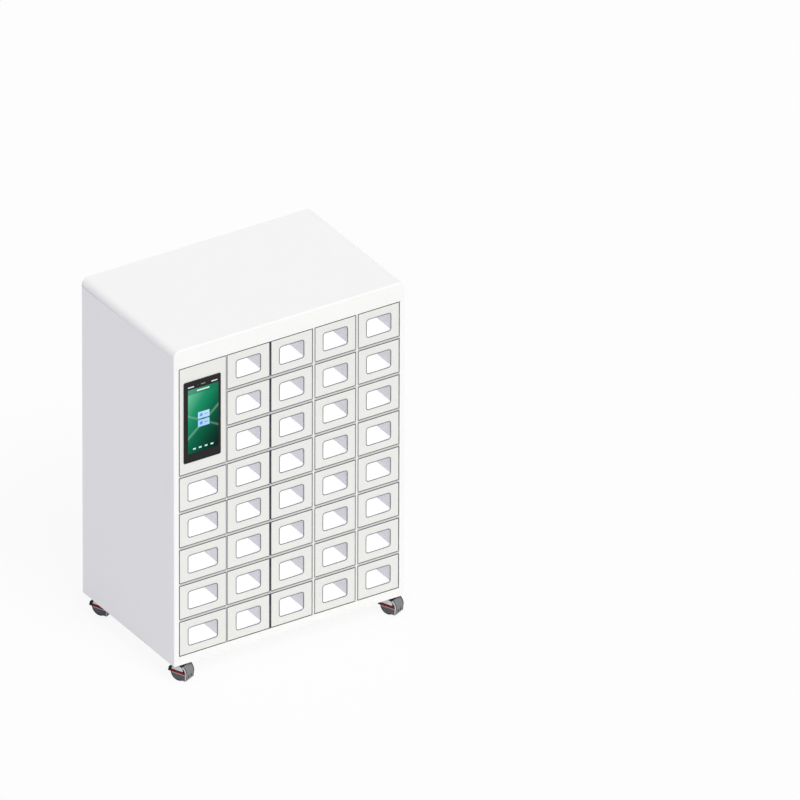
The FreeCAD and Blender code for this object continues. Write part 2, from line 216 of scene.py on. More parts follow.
# Powder coat: faint unevenness of tone over the sheet, and the fine orange peel of a baked coat
smudge_roughness = 0.16
coat, coat_in, coat_out = finish_group(
    "powder_coat", Colour=(0.8, 0.8, 0.8, 1.0), Mottle=0.03, Roughness=0.4,
)
coat_cloud = math_node(coat, "MULTIPLY", noise_node(coat, scale=5.0, detail=3.0), coat_in["Mottle"])
coat.links.new(darkened(coat, coat_in["Colour"], coat_cloud), coat_out["Colour"])
coat_smudge = math_node(coat, "SUBTRACT", noise_node(coat, scale=22.0, detail=4.0), 0.5)
coat_smudge = math_node(coat, "MULTIPLY", coat_smudge, smudge_roughness)
coat.links.new(math_node(coat, "ADD", coat_in["Roughness"], coat_smudge), coat_out["Roughness"])
coat.links.new(noise_node(coat, scale=620.0, detail=2.0), coat_out["Height"])


def shader_of(material):
    """The material's Principled shader."""
    return material.node_tree.nodes["Principled BSDF"]


def finished(name, group, bump_depth, specular=0.5, **values):
    """A material whose colour, roughness and bump come from one of the finish groups."""
    made = bpy.data.materials.new(name)
    made.use_nodes = True
    tree, shader = made.node_tree, shader_of(made)
    finish = tree.nodes.new("ShaderNodeGroup")
    finish.name = "finish"
    finish.node_tree = group
    for label, value in values.items():
        finish.inputs[label].default_value = (*value, 1.0) if isinstance(value, tuple) else value
    bump = tree.nodes.new("ShaderNodeBump")
    bump.inputs["Distance"].default_value = bump_depth
    bump.inputs["Strength"].default_value = 1.0
    tree.links.new(finish.outputs["Height"], bump.inputs["Height"])
    tree.links.new(bump.outputs[0], shader.inputs["Normal"])
    tree.links.new(finish.outputs["Colour"], shader.inputs["Base Color"])
    tree.links.new(finish.outputs["Roughness"], shader.inputs["Roughness"])
    shader.inputs["Specular IOR Level"].default_value = specular
    return made


def coated(name, colour, mottle, roughness, specular=0.4):
    """Powder-coated steel of one colour."""
    values = {"Colour": colour, "Mottle": mottle, "Roughness": roughness}
    return finished(name, coat, bump_depth=0.00003, specular=specular, **values)


def add_box(bm, corner, far_corner):
    """A box between two opposite corners."""
    corner, far_corner = Vector(corner), Vector(far_corner)
    size = [abs(length) for length in far_corner - corner]
    place = Matrix.Translation((corner + far_corner) / 2) @ Matrix.Diagonal((*size, 1.0))
    bmesh.ops.create_cube(bm, size=1.0, matrix=place)


def edges_between(bm, test):
    """The edges whose two ends both pass a test."""
    return [edge for edge in bm.edges if test(edge.verts[0].co) and test(edge.verts[1].co)]


def bend(bm, edges, radius, steps):
    """Rounds edges, as a press brake or a mould does."""
    bmesh.ops.bevel(
        bm, geom=edges, offset=radius, offset_type="OFFSET", segments=steps, profile=0.5,
        affect="EDGES", material=-1, clamp_overlap=True,
    )


def cut_away(bm, test, *planes):
    """Splits the faces along planes (point, normal), and takes away those whose middle passes a test."""
    for point, normal in planes:
        geometry = bm.verts[:] + bm.edges[:] + bm.faces[:]
        bmesh.ops.bisect_plane(bm, geom=geometry, plane_co=point, plane_no=normal)
    gone = [face for face in bm.faces if test(face.calc_center_median())]
    bmesh.ops.delete(bm, geom=gone, context="FACES")


def make_piece(name, bm, body, slot, *materials, sheet=0.0, sheet_inner=0, round_edges=0.0):
    """Turns a mesh into a piece that rides on a body, with a sheet's thickness and rounded edges if given."""
    mesh = bpy.data.meshes.new(name)
    bm.to_mesh(mesh)
    bm.free()
    for one in materials:
        mesh.materials.append(one)
    mesh.shade_smooth()
    mesh.set_sharp_from_angle(angle=smooth_angle)
    made = bpy.data.objects.new(name, mesh)
    scene.collection.objects.link(made)
    if sheet:
        wall = made.modifiers.new("sheet", "SOLIDIFY")
        wall.thickness = sheet
        wall.offset = -1.0
        wall.use_even_offset = True
        wall.material_offset = sheet_inner
        wall.material_offset_rim = sheet_inner
    if round_edges:
        rounding = made.modifiers.new("rounding", "BEVEL")
        rounding.width = round_edges
        rounding.segments = 2
        rounding.limit_method = "ANGLE"
        rounding.angle_limit = rounding_angle
    evened = made.modifiers.new("flat_faces", "WEIGHTED_NORMAL")
    evened.keep_sharp = True
    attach(made, body)
    return made


body_white = coated("body_white", (0.915, 0.915, 0.905), mottle=0.015, roughness=0.42)

bm = bmesh.new()
add_box(bm, (body_low.x, body_low.y, header_bottom), body_high)
top_left = edges_between(bm, lambda at: at.z > body_high.z - hair and at.x < body_low.x + hair)
bend(bm, top_left, top_bend, steps=10)
top_right = edges_between(bm, lambda at: at.z > body_high.z - hair and at.x > body_high.x - hair)
bend(bm, top_right, top_bend, steps=10)
front_edges = edges_between(bm, lambda at: at.y < body_low.y + hair)
front_edges = [edge for edge in front_edges if max(vert.co.z for vert in edge.verts) > header_bottom + hair]
bend(bm, front_edges, front_bend, steps=4)
cut_away(
    bm, lambda at: at.z < header_bottom + hair or (at.z < cover_edge and at.y > return_y),
    ((0, 0, cover_edge), (0, 0, 1)), ((0, return_y, 0), (0, 1, 0)),
)
top_cover = make_piece("top_cover", bm, "cabinet", "white_body", body_white, sheet=body_sheet)
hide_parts("body_shell")

for side, label in ((-1, "left"), (1, "right")):
    outer_x = side * body_high.x
    inner_x = side * (body_high.x - side_return)
    bm = bmesh.new()
    add_box(bm, (outer_x, body_low.y, body_low.z), (inner_x, body_high.y, cover_edge - seam))
    outer = edges_between(bm, lambda at: abs(at.x - outer_x) < hair and at.y < body_low.y + hair)
    bend(bm, outer, front_bend, steps=4)
    outer = edges_between(bm, lambda at: abs(at.x - outer_x) < hair and at.y > body_high.y - hair)
    bend(bm, outer, back_bend, steps=3)
    cut_away(
        bm,
        lambda at: (
            at.z < body_low.z + hair or at.z > cover_edge - seam - hair or abs(at.x - inner_x) < hair
            or (at.z > header_bottom - seam and at.y < return_y)
        ),
        ((0, 0, header_bottom - seam), (0, 0, 1)), ((0, return_y, 0), (0, 1, 0)),
    )
    make_piece("side_sheet_" + label, bm, "cabinet", "white_body", body_white, sheet=body_sheet)

bm = bmesh.new()
rail_reach = body_high.x - side_return - seam
base_reach = body_high.x - base_from_sides
behind_rail, before_back = body_low.y + body_sheet, body_high.y - body_sheet
add_box(bm, (-rail_reach, body_low.y, body_low.z), (rail_reach, behind_rail, base_top))
add_box(bm, (-rail_reach, before_back, body_low.z), (rail_reach, body_high.y, base_top))
add_box(bm, (-base_reach, behind_rail, base_top - body_sheet), (base_reach, before_back, base_top))
base_sheet = make_piece("base_sheets", bm, "cabinet", "white_body", body_white, round_edges=0.0003)

# Back panel.
# One flat coated sheet with two fields of vents, and two low service sheets, all screwed on from behind.
# The screws are zinc-plated pan heads with a cross recess.
screw_radius, screw_height = 0.0042, 0.0014
screw_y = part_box("back_panel")[1].y
screw_places = [(x, z) for x in (-0.452, -0.226, 0.0, 0.226, 0.452) for z in (0.112, 1.278)]
screw_places += [(x, z) for x in (-0.452, 0.452) for z in (0.345, 0.578, 0.812, 1.045)]


def dress(node_name, material):
    """Gives a solid that stays its material."""
    for one in nodes[node_name].material_slots:
        one.material = material


# Plated metal: tarnish in spots, and the fine lines of drawing and grinding
spot_roughness = 0.15
metal, metal_in, metal_out = finish_group(
    "plated_metal", Colour=(0.6, 0.6, 0.6, 1.0), Roughness=0.35, Tarnish=0.12,
)
metal_spots = noise_node(metal, scale=90.0, detail=5.0)
metal_tarnish = math_node(metal, "MULTIPLY", metal_spots, metal_in["Tarnish"])
metal.links.new(darkened(metal, metal_in["Colour"], metal_tarnish), metal_out["Colour"])
metal_rough = math_node(metal, "MULTIPLY", metal_spots, spot_roughness)
metal.links.new(math_node(metal, "ADD", metal_in["Roughness"], metal_rough), metal_out["Roughness"])
metal.links.new(noise_node(metal, scale=1500.0, detail=2.0, stretch=(1.0, 1.0, 0.06)), metal_out["Height"])


def plated(name, colour, roughness, tarnish):
    """Plated or ground metal."""
    values = {"Colour": colour, "Roughness": roughness, "Tarnish": tarnish}
    made = finished(name, metal, bump_depth=0.00002, **values)
    shader_of(made).inputs["Metallic"].default_value = 1.0
    return made


def add_screw(bm, place, outward, radius, height):
    """A pan head with a shallow cross recess, standing on a face."""
    outward = Vector(outward)
    crown, rim_width, recess_depth = radius * 0.72, radius * 0.42, height * 0.4
    stand = Matrix.Translation(place) @ outward.to_track_quat("Z", "Y").to_matrix().to_4x4()
    head = bmesh.ops.create_cone(
        bm, cap_ends=True, segments=16, radius1=radius, radius2=crown, depth=height,
        matrix=stand @ Matrix.Translation((0, 0, height / 2)),
    )["verts"]
    faces = {face for vert in head for face in vert.link_faces}
    cap = max(faces, key=lambda face: face.calc_center_median().dot(outward))
    bmesh.ops.inset_region(bm, faces=[cap], thickness=rim_width, depth=-recess_depth)


zinc = plated("zinc_plate", (0.62, 0.63, 0.65), roughness=0.32, tarnish=0.18)
dress("back_panel", body_white)
bm = bmesh.new()
for x, z in screw_places:
    add_screw(bm, (x, screw_y, z), (0, 1, 0), screw_radius, screw_height)
make_piece("back_screws", bm, "cabinet", "steel", zinc)

# Compartment liner.
# Upright partitions and folded shelves of thinner coated sheet, whose front edges part the doors as strips.
# Painted shade: the faces in the gaps beside the doors are painted dark, darkest in the deep gap. Painted
# light: the sheets behind the doors glow softly, so the compartments look lit.
gap_front, gap_back = -0.2988, -0.2840
deep_gap_x, deep_gap_half = -0.0765, 0.010
# Painted shade: the dark tone of the deep gap's faces
deep_gap_painted_shade = (0.17, 0.17, 0.19)
black = (0.0, 0.0, 0.0)
# Painted light and shade: the shelves glow brightly and the walls faintly; the walls are a darker lavender
# grey and the shelves' front strips darker, as shade
shelf_colour, shelf_front_painted_shade, shelf_painted_glow = (0.84, 0.84, 0.85), (0.60, 0.60, 0.61), 0.50
wall_shaded_colour, wall_front, wall_painted_glow = (0.575, 0.57, 0.62), (0.80, 0.80, 0.80), 0.04


def mix_colour(tree, share, first, second):
    """A colour mix whose share and colours are each a value or another node's output."""
    node = tree.nodes.new("ShaderNodeMix")
    node.data_type = "RGBA"
    sockets = (node.inputs[0], node.inputs[6], node.inputs[7])
    for socket, value in zip(sockets, (share, first, second)):
        if isinstance(value, (int, float)):
            socket.default_value = value
        elif isinstance(value, tuple):
            socket.default_value = (*value, 1.0)
        else:
            tree.links.new(value, socket)
    return node.outputs[2]


def places(tree, kind="Object"):
    """A piece's own coordinates, or its faces' directions, apart as X, Y and Z."""
    split = tree.nodes.new("ShaderNodeSeparateXYZ")
    tree.links.new(tree.nodes.new("ShaderNodeTexCoord").outputs[kind], split.inputs[0])
    return split.outputs


def lining(name, colour, front_colour, gap_shade_tone, painted_glow, lowest_painted_glow=0.0):
    """Liner sheet: painted dark as shade where it faces the doors' edges, and given a painted glow behind
    them above the given height.
    """
    made = coated(name, colour, mottle=0.02, roughness=0.5, specular=0.5)
    tree, shader, at = made.node_tree, shader_of(made), places(made.node_tree)
    behind_face = math_node(tree, "GREATER_THAN", at["Y"], gap_front)
    behind_doors = math_node(tree, "GREATER_THAN", at["Y"], gap_back)
    off_deep_gap = math_node(tree, "ABSOLUTE", math_node(tree, "SUBTRACT", at["X"], deep_gap_x))
    in_deep_gap = math_node(tree, "LESS_THAN", off_deep_gap, deep_gap_half)
    # Painted shade: faces in the gap between the front face and the doors' backs take a dark tone, darkest in
    # the deep gap
    painted_gap_shade = mix_colour(tree, in_deep_gap, (gap_shade_tone, gap_shade_tone, gap_shade_tone + 0.03), deep_gap_painted_shade)
    before_face = math_node(tree, "SUBTRACT", 1.0, behind_face)
    sheet_colour = mix_colour(tree, before_face, tree.nodes["finish"].outputs["Colour"], front_colour)
    in_gap = math_node(tree, "SUBTRACT", behind_face, behind_doors)
    tree.links.new(mix_colour(tree, in_gap, sheet_colour, painted_gap_shade), shader.inputs["Base Color"])
    # Painted light: behind the doors and above the given height, the sheet glows white
    lit = math_node(tree, "GREATER_THAN", at["Z"], lowest_painted_glow)
    lit = math_node(tree, "MULTIPLY", behind_doors, lit)
    tree.links.new(mix_colour(tree, lit, black, white), shader.inputs["Emission Color"])
    shader.inputs["Emission Strength"].default_value = painted_glow
    return made


# Painted shade and light: the walls take the dark lavender shade and a faint glow, the shelves a bright glow
# and darker front strips
wall_white_painted_shade = lining("wall_white_painted_shade", wall_shaded_colour, front_colour=wall_front, gap_shade_tone=0.70, painted_glow=wall_painted_glow)
shelf_white_painted_glow = lining("shelf_white_painted_glow", shelf_colour, front_colour=shelf_front_painted_shade, gap_shade_tone=0.45, painted_glow=shelf_painted_glow)
dress("partitions", wall_white_painted_shade)
dress("shelves", shelf_white_painted_glow)
# The base sheet is the lowest compartments' floor, so its upper face gets the same painted glow
base_sheet.data.materials.append(lining(
    "floor_white_steel_painted_glow", shelf_colour, front_colour=shelf_colour, gap_shade_tone=0.32, painted_glow=shelf_painted_glow,
    lowest_painted_glow=base_top - 0.0002,
))
for face in base_sheet.data.polygons:
    if face.normal.z > 0.5 and face.center.z > base_top - hair and face.center.y > behind_rail:
        face.material_index = 1

# Hinge rods.
# One steel rod to a column, ground and zinc-plated.
# It runs through the folded left edge of every door in the column.
dress("hinge_rods", zinc)

# Door locks.
# Small magnetic locks in grey moulded cases, screwed to the right wall of each compartment.
# Moulded plastic here has a fine spark-eroded texture, and is a little worn in places.
worn_colour, worn_roughness = (0.45, 0.44, 0.42), 0.12
plastic, plastic_in, plastic_out = finish_group(
    "moulded_plastic", Colour=(0.2, 0.2, 0.2, 1.0), Roughness=0.5, Wear=0.1,
)
plastic_tone = noise_node(plastic, scale=60.0, detail=4.0)
plastic_worn = math_node(plastic, "MULTIPLY", plastic_tone, plastic_in["Wear"])
plastic_colour = mix_colour(plastic, plastic_worn, plastic_in["Colour"], worn_colour)
plastic.links.new(plastic_colour, plastic_out["Colour"])
plastic_rough = math_node(plastic, "MULTIPLY", plastic_tone, worn_roughness)
plastic.links.new(math_node(plastic, "ADD", plastic_in["Roughness"], plastic_rough), plastic_out["Roughness"])
plastic.links.new(noise_node(plastic, scale=1100.0, detail=1.0), plastic_out["Height"])


def moulded(name, colour, roughness, wear, specular=0.5):
    """Moulded plastic or rubber of one colour."""
    values = {"Colour": colour, "Roughness": roughness, "Wear": wear}
    return finished(name, plastic, bump_depth=0.00004, specular=specular, **values)


dress("door_locks", moulded("lock_grey", (0.30, 0.30, 0.32), roughness=0.5, wear=0.05))

# Doors.
# Each is a folded sheet with a rounded window. A grey seal holds a clear pane behind it, and the left edge is
# folded round the hinge rod. A zinc-plated block on the back meets the magnetic lock.
door_sheet = 0.0012
door_depth = 0.015
door_bend = 0.0011
hinge_section = 0.007
rod_space = 0.0046
window_radius = 0.011
window_height = 0.073
seal_width = 0.0030
seal_proud = 0.0006
seal_gap = 0.0004
pane_lap = 0.003
pane_thickness = 0.002
block_size = (0.0085, 0.0138, 0.024)
block_from_wall = 0.0045
block_above_window = 0.002
# Painted shade: the doors' folds behind the front face are painted dark, as if in the shadow of the gaps
painted_shade_start = -0.2990
painted_shade_above_and_below = (0.07, 0.07, 0.09)
door_white = coated("door_white", (0.80, 0.805, 0.775), mottle=0.02, roughness=0.45)
seal_grey = moulded("seal_grey", (0.17, 0.17, 0.205), roughness=0.6, wear=0.04)

# The pane is clear, with a thin haze
pane_clear = bpy.data.materials.new("clear_pane")
pane_clear.use_nodes = True
pane_inputs = shader_of(pane_clear).inputs
pane_inputs["Base Color"].default_value = (0.93, 0.94, 0.97, 1.0)
pane_inputs["Specular IOR Level"].default_value = 0.4
pane_haze = noise_node(pane_clear.node_tree, scale=35.0, detail=3.0)
for socket, least, more in (("Alpha", 0.10, 0.05), ("Roughness", 0.04, 0.06)):
    haze = math_node(pane_clear.node_tree, "MULTIPLY", pane_haze, more)
    pane_clear.node_tree.links.new(math_node(pane_clear.node_tree, "ADD", least, haze), pane_inputs[socket])


def fold_shaded(name, side_shade_tone):
    """The doors' white with painted shade round the folds, dark above and below and of one tone at the sides.
    """
    made = door_white.copy()
    made.name = name
    tree = made.node_tree
    sideways = math_node(tree, "ABSOLUTE", places(tree, "Normal")["X"])
    painted_gap_shade = mix_colour(tree, sideways, painted_shade_above_and_below, (side_shade_tone, side_shade_tone, side_shade_tone + 0.02))
    on_fold = math_node(tree, "GREATER_THAN", places(tree)["Y"], painted_shade_start)
    colour = mix_colour(tree, on_fold, tree.nodes["finish"].outputs["Colour"], painted_gap_shade)
    tree.links.new(colour, shader_of(made).inputs["Base Color"])
    return made


# Painted shade of three strengths on the folds, from dark to pale
dark_shaded_folds = fold_shaded("door_white_dark_painted_shade", side_shade_tone=0.13)
grey_shaded_folds = fold_shaded("door_white_grey_painted_shade", side_shade_tone=0.28)
pale_shaded_folds = fold_shaded("door_white_pale_painted_shade", side_shade_tone=0.42)

# For each column: its doors' white with the painted shade on their folds, half of its windows' width, and the
# wall that holds its locks
columns = {
    "1": (dark_shaded_folds, 0.0605, -0.25275),
    "2": (grey_shaded_folds, 0.0505, -0.07725),
    "3": (dark_shaded_folds, 0.0505, 0.0945),
    "4": (pale_shaded_folds, 0.0505, 0.2690),
    "5": (pale_shaded_folds, 0.0505, 0.4450),
}


def rounded_plate(bm, area, y, radius):
    """A flat upright face with rounded corners."""
    x0, x1, z0, z1 = area
    place = Matrix.Translation(((x0 + x1) / 2, y, (z0 + z1) / 2)) @ Matrix.Rotation(math.radians(90), 4, "X")
    place = place @ Matrix.Diagonal((x1 - x0, z1 - z0, 1.0, 1.0))
    corners = bmesh.ops.create_grid(bm, x_segments=1, y_segments=1, size=0.5, matrix=place)["verts"]
    rounded = bmesh.ops.bevel(
        bm, geom=corners, offset=radius, offset_type="OFFSET", segments=6, profile=0.5,
        affect="VERTICES", material=-1,
    )
    return next(face for face in rounded["verts"][0].link_faces if len(face.verts) > 8)


def pull(bm, drawn, way):
    """Moves what an extrusion has added."""
    verts = [one for one in drawn["geom"] if isinstance(one, bmesh.types.BMVert)]
    bmesh.ops.translate(bm, verts=verts, vec=way)


def rounded_ring(bm, area, y0, y1, radius, width):
    """A flat ring with rounded corners and a thickness."""
    face = rounded_plate(bm, area, y0, radius)
    bmesh.ops.inset_region(bm, faces=[face], thickness=width, use_boundary=True, use_even_offset=True)
    bmesh.ops.delete(bm, geom=[face], context="FACES")
    pull(bm, bmesh.ops.extrude_face_region(bm, geom=bm.faces[:]), (0, y1 - y0, 0))
    bmesh.ops.recalc_face_normals(bm, faces=bm.faces[:])


def folded_sheet(x0, x1, z0, z1, y0, hole, hole_radius):
    """A shallow tray of sheet with rounded folds, open at the back, with a rounded hole in its face."""
    bm = bmesh.new()
    add_box(bm, (x0, y0, z0), (x1, y0 + door_depth, z1))
    rear = [face for face in bm.faces if face.normal.y > 0.9]
    bmesh.ops.delete(bm, geom=rear, context="FACES_ONLY")
    folds = edges_between(bm, lambda at: at.y < y0 + hair)
    folds += [edge for edge in bm.edges if abs(edge.verts[0].co.y - edge.verts[1].co.y) > door_depth / 2]
    bend(bm, folds, door_bend, steps=3)
    front = max(bm.faces, key=lambda one: -one.normal.y * one.calc_area())
    outline = list(front.edges)
    bmesh.ops.delete(bm, geom=[front], context="FACES_ONLY")
    hole_face = rounded_plate(bm, hole, y0, hole_radius)
    outline += list(hole_face.edges)
    bmesh.ops.delete(bm, geom=[hole_face], context="FACES_ONLY")
    bmesh.ops.triangle_fill(bm, use_beauty=True, edges=outline, normal=(0, -1, 0))
    bmesh.ops.recalc_face_normals(bm, faces=bm.faces[:])
    if max(bm.faces, key=lambda one: abs(one.normal.y) * one.calc_area()).normal.y > 0:
        bmesh.ops.reverse_faces(bm, faces=bm.faces[:])
    return bm


for node_name in [name for name in nodes if name.startswith("door_column")]:
    door_low, door_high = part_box(node_name)
    x0, x1, z0, z1 = door_low.x, door_high.x, door_low.z, door_high.z
    front_y = door_low.y
    behind_face = front_y + door_sheet
    finish, half_width, wall_x = columns[node_name[len("door_column")]]
    middle_x, middle_z = (x0 + x1) / 2, (z0 + z1) / 2
    half_height = window_height / 2
    window = (middle_x - half_width, middle_x + half_width, middle_z - half_height, middle_z + half_height)
    bm = folded_sheet(x0, x1, z0, z1, front_y, window, window_radius)
    panel = make_piece(
        node_name + "_panel", bm, node_name, "white_door", finish, door_white,
        sheet=door_sheet, sheet_inner=1,
    )
    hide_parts(node_name)

    bm = bmesh.new()
    around = [edge + grow for edge, grow in zip(window, (-seal_gap, seal_gap, -seal_gap, seal_gap))]
    rounded_ring(bm, around, front_y - seal_proud, behind_face, window_radius + seal_gap, seal_width)
    make_piece(node_name + "_seal", bm, node_name, "grey_plastic", seal_grey, round_edges=0.0004)

    bm = bmesh.new()
    add_box(
        bm, (window[0] - pane_lap, behind_face, window[2] - pane_lap),
        (window[1] + pane_lap, behind_face + pane_thickness, window[3] + pane_lap),
    )
    make_piece(node_name + "_pane", bm, node_name, "screen_glass", pane_clear, round_edges=0.0003)

    bm = bmesh.new()
    add_box(
        bm, (x0 + door_sheet, behind_face + rod_space, z0 + door_sheet),
        (x0 + hinge_section, front_y + door_depth, z1 - door_sheet),
    )
    make_piece(node_name + "_hinge_fold", bm, node_name, "white_door", door_white, round_edges=0.0006)

    bm = bmesh.new()
    block_z = middle_z + half_height + block_above_window
    block_low = (wall_x - block_from_wall - block_size[0], behind_face, block_z - block_size[2] / 2)
    add_box(bm, block_low, [start + size for start, size in zip(block_low, block_size)])
    make_piece(node_name + "_block", bm, node_name, "steel", zinc, round_edges=0.0006)

# Terminal fascia.
# A fixed folded panel of the doors' white sheet over the top of the first column, with an opening for the
# terminal. Two ears hold it between the walls.
fascia_low, fascia_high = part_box("terminal_fascia")
bezel_low, bezel_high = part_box("terminal_unit")
fascia_x0, fascia_x1 = -0.442, -0.2545
ear_depth, ear_half_height = 0.008, 0.015
case_margin = 0.005
opening_radius = 0.003
opening = (
    bezel_low.x + case_margin, bezel_high.x - case_margin,
    bezel_low.z + case_margin, bezel_high.z - case_margin,
)
bm = folded_sheet(fascia_x0, fascia_x1, fascia_low.z, fascia_high.z, fascia_low.y, opening, opening_radius)
# The fascia's folds carry the dark painted shade of the first column's doors
fascia = make_piece(
    "terminal_fascia_panel", bm, "cabinet", "white_door", dark_shaded_folds, door_white,
    sheet=door_sheet, sheet_inner=1,
)
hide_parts("terminal_fascia")
bm = bmesh.new()
ear_z = (fascia_low.z + fascia_high.z) / 2
for panel_x, ear_x in ((fascia_x0, fascia_low.x), (fascia_x1, fascia_high.x)):
    add_box(
        bm, (ear_x, fascia_high.y - ear_depth, ear_z - ear_half_height),
        (panel_x, fascia_high.y, ear_z + ear_half_height),
    )
make_piece("terminal_fascia_ears", bm, "cabinet", "white_door", door_white, round_edges=0.0004)

# Terminal.
# A black moulded case with a thin bezel round its glass. The case passes through the fascia's opening,
# and its back corners are well rounded.
bezel_corner, bezel_rim = 0.006, 0.002
glass_pocket, bezel_depth = 0.0014, 0.002
case_corner, case_play = 0.011, 0.0005
terminal_black = moulded("terminal_black", (0.018, 0.018, 0.019), roughness=0.42, wear=0.04, specular=0.35)
bm = bmesh.new()
bezel_face = rounded_plate(
    bm, (bezel_low.x, bezel_high.x, bezel_low.z, bezel_high.z), bezel_low.y, bezel_corner,
)
bmesh.ops.inset_region(bm, faces=[bezel_face], thickness=bezel_rim, use_boundary=True, use_even_offset=True)
pull(bm, bmesh.ops.extrude_face_region(bm, geom=[bezel_face]), (0, glass_pocket, 0))
bmesh.ops.delete(bm, geom=[bezel_face], context="FACES_ONLY")
rim = [edge for edge in bm.edges if edge.is_boundary]
pull(bm, bmesh.ops.extrude_edge_only(bm, edges=rim), (0, bezel_depth, 0))
bmesh.ops.recalc_face_normals(bm, faces=bm.faces[:])
bezel = make_piece("terminal_bezel", bm, "cabinet", "black_bezel", terminal_black, round_edges=0.0005)
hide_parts("terminal_unit")
bm = bmesh.new()
inset = case_margin + case_play
add_box(
    bm, (bezel_low.x + inset, bezel_low.y + bezel_depth, bezel_low.z + inset),
    (bezel_high.x - inset, bezel_high.y, bezel_high.z - inset),
)
bend(bm, edges_between(bm, lambda at: at.y > bezel_high.y - hair), case_corner, steps=4)
make_piece("terminal_case", bm, "cabinet", "black_plastic", terminal_black, round_edges=0.0008)

# Terminal glass and screen.
# Cover glass printed black round a lit upright display, glued into the bezel's pocket.
# The display shows a plain, made-up start page: two cards, four small keys and soft bands of light.
display_x0, display_x1 = bezel_low.x + 0.0170, bezel_high.x - 0.0100
display_z0, display_z1 = bezel_low.z + 0.0350, bezel_high.z - 0.0325
display_width, display_height = display_x1 - display_x0, display_z1 - display_z0
page_glow = 0.7
page_paint_black = 0.65
pixel_black = 0.06
glass_roughness, smear_roughness = 0.05, 0.08
band_light, status_green, title_light = (0.45, 0.85, 0.62), (0.01, 0.15, 0.09), (0.80, 0.92, 0.86)
card_blue, lower_card_blue = (0.50, 0.72, 1.0), (0.42, 0.66, 1.0)
mark_blue, lower_mark_blue = (0.12, 0.36, 0.80), (0.10, 0.32, 0.76)
key_light, print_black, print_white = (0.62, 0.90, 0.84), (0.023, 0.023, 0.023), (0.75, 0.76, 0.78)
speaker_grey, lens_blue = (0.42, 0.43, 0.45), (0.05, 0.055, 0.07)
screen_glass = bpy.data.materials.new("screen_page")
screen_glass.use_nodes = True
screen_tree = screen_glass.node_tree
screen_at = places(screen_tree)


def on_screen(operation, first, second=0.0):
    """Math between the screen's own nodes."""
    return math_node(screen_tree, operation, first, second)


def stretch_of(value, start, length):
    """A mask for a stretch of a coordinate."""
    node = screen_tree.nodes.new("ShaderNodeMath")
    node.operation = "COMPARE"
    screen_tree.links.new(value, node.inputs[0])
    node.inputs[1].default_value = start + length / 2
    node.inputs[2].default_value = length / 2
    return node.outputs[0]


def patch(x, z, width, height):
    """A mask for an upright rectangle, placed from the display's lower left corner."""
    across = stretch_of(screen_at["X"], display_x0 + x, width)
    return on_screen("MULTIPLY", across, stretch_of(screen_at["Z"], display_z0 + z, height))


def disc(x, z, radius):
    """A mask for a round spot, placed like a patch."""
    off_x = on_screen("SUBTRACT", screen_at["X"], display_x0 + x)
    off_z = on_screen("SUBTRACT", screen_at["Z"], display_z0 + z)
    squares = on_screen("ADD", on_screen("MULTIPLY", off_x, off_x), on_screen("MULTIPLY", off_z, off_z))
    return on_screen("LESS_THAN", on_screen("SQRT", squares), radius)


def band(slope, offset, width, share):
    """A soft straight band of light across the display."""
    line = on_screen("MULTIPLY", on_screen("SUBTRACT", screen_at["X"], display_x0), slope)
    height = on_screen("SUBTRACT", screen_at["Z"], display_z0 + offset)
    off = on_screen("ABSOLUTE", on_screen("SUBTRACT", height, line))
    fade = on_screen("SUBTRACT", 1.0, on_screen("DIVIDE", off, width))
    return on_screen("MULTIPLY", on_screen("POWER", on_screen("MAXIMUM", fade, 0.0), 2.0), share)


def printed(ground, *marks):
    """A ground with marks over it, each a mask and a colour."""
    for mask, colour in marks:
        ground = mix_colour(screen_tree, mask, ground, colour)
    return ground


# The page's green falls off from the upper left to the lower right
across = on_screen("DIVIDE", on_screen("SUBTRACT", screen_at["X"], display_x0), display_width)
downward = on_screen("DIVIDE", on_screen("SUBTRACT", display_z1, screen_at["Z"]), display_height)
page_green = screen_tree.nodes.new("ShaderNodeValToRGB")
fall_across, fall_down = on_screen("MULTIPLY", across, 0.42), on_screen("MULTIPLY", downward, 0.58)
screen_tree.links.new(on_screen("ADD", fall_across, fall_down), page_green.inputs[0])
stops = page_green.color_ramp.elements
stops[0].position, stops[0].color = 0.05, (0.135, 0.52, 0.31, 1.0)
stops[1].position, stops[1].color = 0.95, (0.001, 0.015, 0.012, 1.0)
for position, colour in (
    (0.30, (0.010, 0.27, 0.13, 1.0)), (0.55, (0.0, 0.12, 0.06, 1.0)), (0.78, (0.0, 0.045, 0.025, 1.0)),
):
    stops.new(position).color = colour
page = printed(
    page_green.outputs[0],
    (band(slope=0.85, offset=0.060, width=0.013, share=0.30), band_light),
    (band(slope=-0.55, offset=0.150, width=0.009, share=0.25), band_light),
    (on_screen("MULTIPLY", patch(0.0, 0.231, display_width, 0.0205), 0.55), status_green),
    (patch(0.036, 0.239, 0.050, 0.005), title_light),
    (patch(0.040, 0.128, 0.046, 0.026), card_blue), (patch(0.040, 0.096, 0.046, 0.026), lower_card_blue),
    (disc(0.053, 0.141, 0.0065), mark_blue), (patch(0.064, 0.1395, 0.017, 0.003), mark_blue),
    (disc(0.053, 0.109, 0.0065), lower_mark_blue), (patch(0.064, 0.1075, 0.017, 0.003), lower_mark_blue),
    *[(patch(0.020 + 0.0235 * step, 0.012, 0.011, 0.006), key_light) for step in range(4)],
    (on_screen("MULTIPLY", noise_node(screen_tree, scale=900.0, detail=0.0), pixel_black), black),
)
